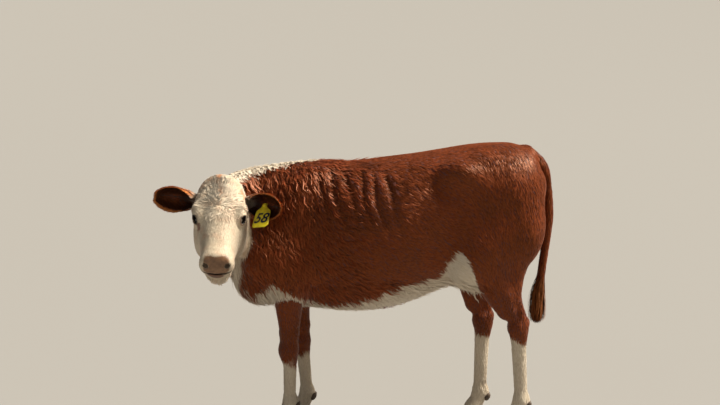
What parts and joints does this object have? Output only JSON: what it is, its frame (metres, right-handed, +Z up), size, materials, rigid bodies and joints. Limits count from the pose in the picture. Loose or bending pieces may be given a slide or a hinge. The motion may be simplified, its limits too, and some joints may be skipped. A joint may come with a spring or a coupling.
{
  "type": "standing cow, life-size still model",
  "caption": "Life-size still model of a young polled cow, red coat with a white face, standing with its head turned and an ear tag.",
  "frame": {"origin": "on the floor, under the middle of the model's box", "axes": "the cow faces -Y, its left side is toward +X, +Z is up"},
  "size_m": [0.683, 1.5592, 1.1473],
  "materials": {
    "red_coat": "short red-brown hair, longer and wavy on the neck and shoulder",
    "white_coat": "cream-white hair, curly on the poll and short on the face",
    "ear_hair": "red-brown hair with dark long hair inside the cup",
    "switch_hair": "long dark brown hair with paler ends",
    "claw_horn": "dull horn with fine growth rings",
    "eye": "wet dark brown eye",
    "tag": "moulded yellow flexible plastic with dark digits"
  },
  "bodies": {
    "root": {"trunk": "red_coat", "neck": "red_coat", "head": "white_coat", "eye_left": "eye", "eye_right": "eye", "ear_left": "ear_hair", "ear_right": "ear_hair", "foreleg_left_upper": "red_coat", "foreleg_left_lower": "white_coat", "foreleg_right_upper": "red_coat", "foreleg_right_lower": "white_coat", "hindleg_left_upper": "red_coat", "hindleg_left_lower": "white_coat", "hindleg_right_upper": "red_coat", "hindleg_right_lower": "white_coat", "claw_foreleg_left_outer": "claw_horn", "claw_foreleg_left_inner": "claw_horn", "claw_foreleg_right_outer": "claw_horn", "claw_foreleg_right_inner": "claw_horn", "claw_hindleg_left_outer": "claw_horn", "claw_hindleg_left_inner": "claw_horn", "claw_hindleg_right_outer": "claw_horn", "claw_hindleg_right_inner": "claw_horn", "dewclaw_foreleg_left_outer": "claw_horn", "dewclaw_foreleg_left_inner": "claw_horn", "dewclaw_foreleg_right_outer": "claw_horn", "dewclaw_foreleg_right_inner": "claw_horn", "dewclaw_hindleg_left_outer": "claw_horn", "dewclaw_hindleg_left_inner": "claw_horn", "dewclaw_hindleg_right_outer": "claw_horn", "dewclaw_hindleg_right_inner": "claw_horn", "tail": "red_coat", "tail_switch": "switch_hair", "ear_tag": "tag", "tag_button": "tag"}
  },
  "joints": []
}
